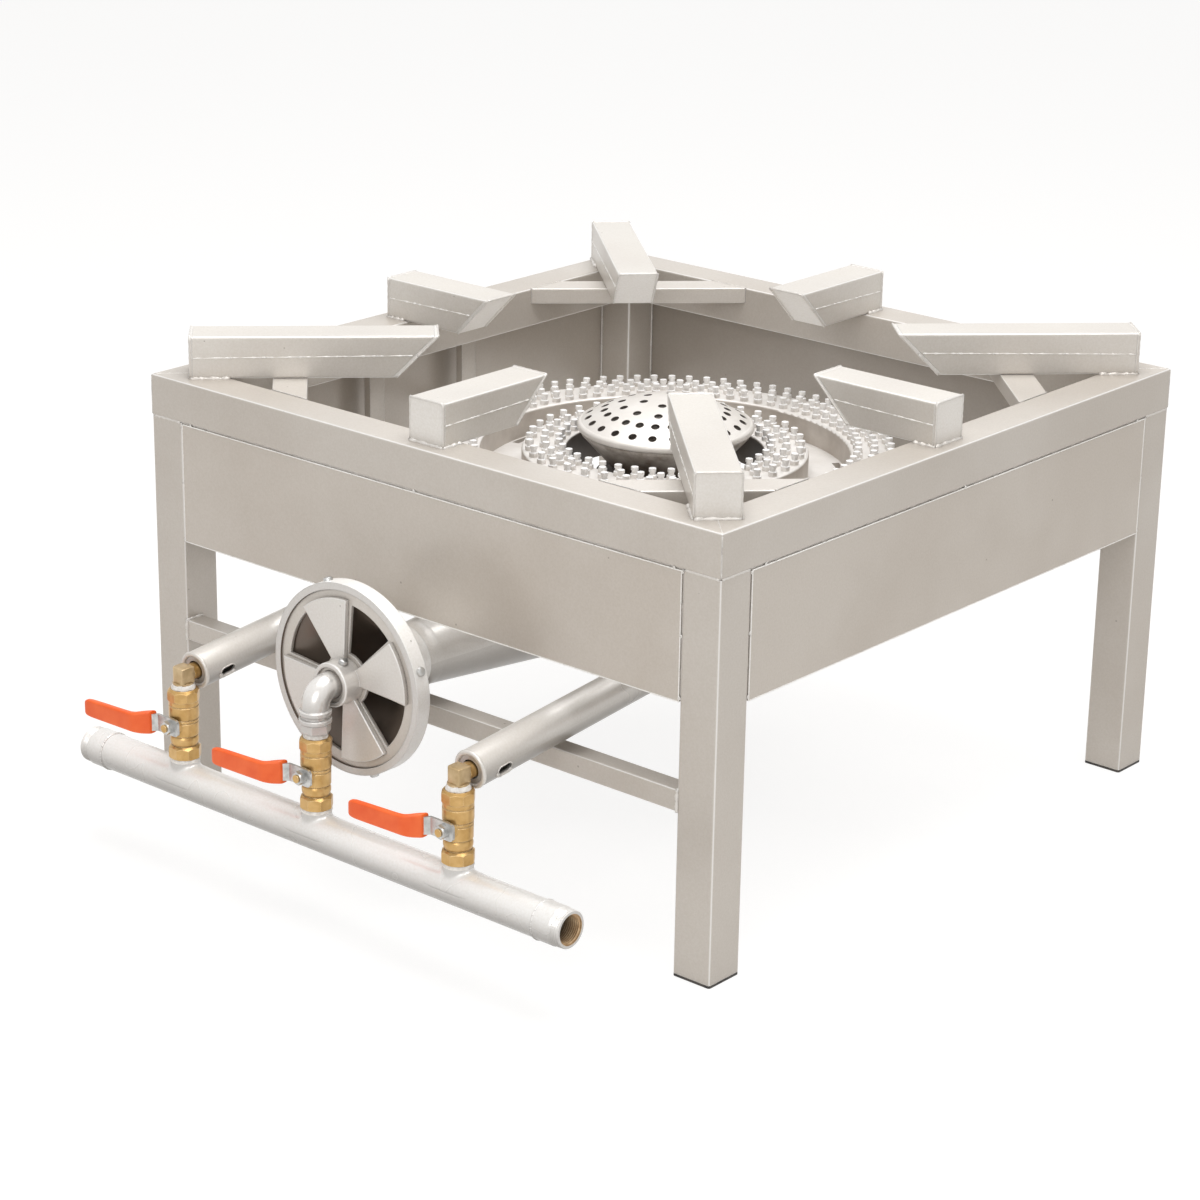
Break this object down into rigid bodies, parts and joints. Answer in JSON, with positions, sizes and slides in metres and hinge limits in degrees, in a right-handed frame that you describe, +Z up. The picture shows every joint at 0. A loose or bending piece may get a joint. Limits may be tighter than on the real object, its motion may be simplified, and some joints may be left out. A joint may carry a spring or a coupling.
{
  "type": "commercial gas stove",
  "caption": "Low square commercial gas stove with pot bars, ring burners, rotary air shutter and a front gas manifold with lever valves.",
  "frame": {"origin": "on the floor under the middle of the whole part's bounding box", "axes": "+Z up, -Y towards the valves at the front, +X to the right seen from the front"},
  "size_m": [0.8511, 1.0536, 0.555],
  "materials": {
    "silver_paint": "satin",
    "bare_burner_metal": "satin",
    "brass": "satin",
    "zinc_plate": "satin",
    "orange_vinyl": "satin",
    "white_seat": "matte",
    "dark_plug": "matte"
  },
  "bodies": {
    "stove": {"bar_end_plates": "silver_paint", "bell_mouth": "silver_paint", "brass_elbows": "brass", "burner_base_plate": "bare_burner_metal", "centre_burner_bowl": "bare_burner_metal", "centre_burner_cap": "bare_burner_metal", "centre_bushing": "silver_paint", "centre_elbow": "silver_paint", "corner_braces": "silver_paint", "front_bar": "silver_paint", "front_burner_strap": "silver_paint", "front_left_bar": "silver_paint", "front_left_leg": "silver_paint", "front_panel": "silver_paint", "front_rail": "silver_paint", "front_right_bar": "silver_paint", "front_right_leg": "silver_paint", "injectors": "brass", "left_bar": "silver_paint", "left_panel": "silver_paint", "leg_end_caps": "dark_plug", "manifold_pipe": "silver_paint", "manifold_sockets": "silver_paint", "middle_mixing_tube": "silver_paint", "middle_ring_burner": "bare_burner_metal", "middle_ring_jets": "bare_burner_metal", "outer_mixing_tube": "silver_paint", "outer_ring_burner": "bare_burner_metal", "outer_ring_jets": "bare_burner_metal", "rear_bar": "silver_paint", "rear_burner_strap": "silver_paint", "rear_left_bar": "silver_paint", "rear_left_leg": "silver_paint", "rear_panel": "silver_paint", "rear_right_bar": "silver_paint", "rear_right_leg": "silver_paint", "register_plate": "silver_paint", "right_bar": "silver_paint", "right_panel": "silver_paint", "rim_set_screws": "zinc_plate", "top_rails": "silver_paint", "valve_bodies": "brass", "valve_end_pieces": "brass", "valve_seats": "white_seat", "venturi_tube": "silver_paint"},
    "left_valve_handle": {"left_ball_and_stem": "brass", "left_lever": "zinc_plate", "left_grip": "orange_vinyl", "left_lever_nut": "zinc_plate"},
    "middle_valve_handle": {"middle_ball_and_stem": "brass", "middle_lever": "zinc_plate", "middle_grip": "orange_vinyl", "middle_lever_nut": "zinc_plate"},
    "right_valve_handle": {"right_ball_and_stem": "brass", "right_lever": "zinc_plate", "right_grip": "orange_vinyl", "right_lever_nut": "zinc_plate"},
    "shutter_wheel": {"air_shutter": "silver_paint", "shutter_set_screw": "zinc_plate"}
  },
  "joints": [
    {"name": "left_valve_turn", "type": "hinge", "parent": "stove", "child": "left_valve_handle", "pos_m": [-0.21, -0.4792, 0.175], "axis": [0, -1, 0], "range_deg": [0, 90]},
    {"name": "middle_valve_turn", "type": "hinge", "parent": "stove", "child": "middle_valve_handle", "pos_m": [0, -0.4792, 0.175], "axis": [0, -1, 0], "range_deg": [0, 90]},
    {"name": "right_valve_turn", "type": "hinge", "parent": "stove", "child": "right_valve_handle", "pos_m": [0.21, -0.4792, 0.175], "axis": [0, -1, 0], "range_deg": [0, 90]},
    {"name": "air_shutter_turn", "type": "hinge", "parent": "stove", "child": "shutter_wheel", "pos_m": [0, -0.4337, 0.268], "axis": [0, -1, 0], "range_deg": [0, 45]}
  ]
}
